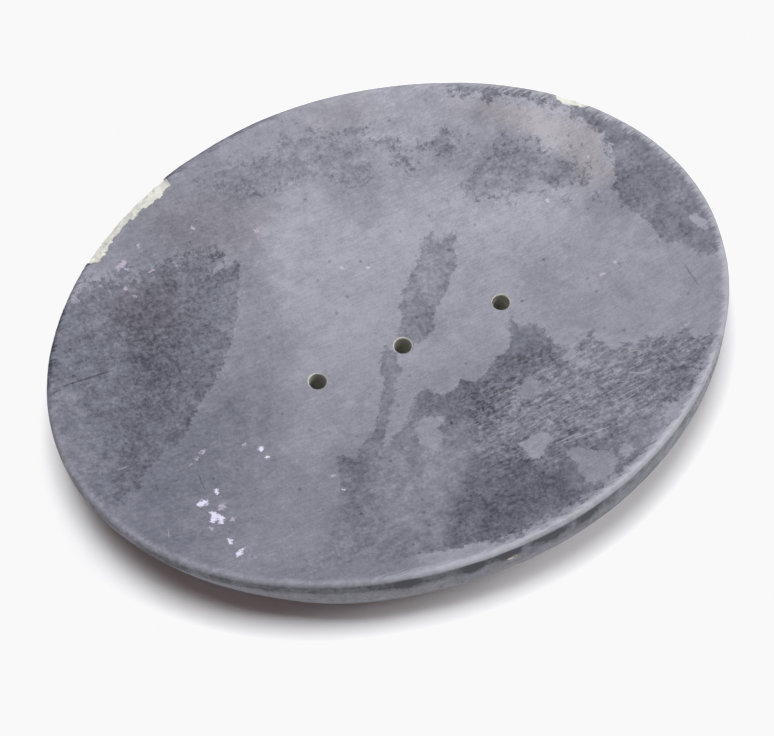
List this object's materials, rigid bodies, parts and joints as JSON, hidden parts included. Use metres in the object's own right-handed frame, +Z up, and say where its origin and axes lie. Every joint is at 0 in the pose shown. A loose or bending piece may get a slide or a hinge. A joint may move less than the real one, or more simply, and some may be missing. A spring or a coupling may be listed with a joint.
{
  "type": "soap dish",
  "caption": "Oval carved soapstone soap dish with a shallow hollow, drain holes along its length, a rounded rim and small rubber feet.",
  "frame": {"origin": "on the surface that the dish stands on, under the middle of the dish", "axes": "+X along the dish's length and its row of drain holes, +Y across it, +Z up out of the hollow"},
  "size_m": [0.1302, 0.1026, 0.017],
  "materials": {
    "dyed_soapstone": "satin",
    "foot_rubber": "matte"
  },
  "bodies": {
    "root": {"stone_dish": "dyed_soapstone", "foot_front_left": "foot_rubber", "foot_front_right": "foot_rubber", "foot_back_left": "foot_rubber", "foot_back_right": "foot_rubber"}
  },
  "joints": []
}
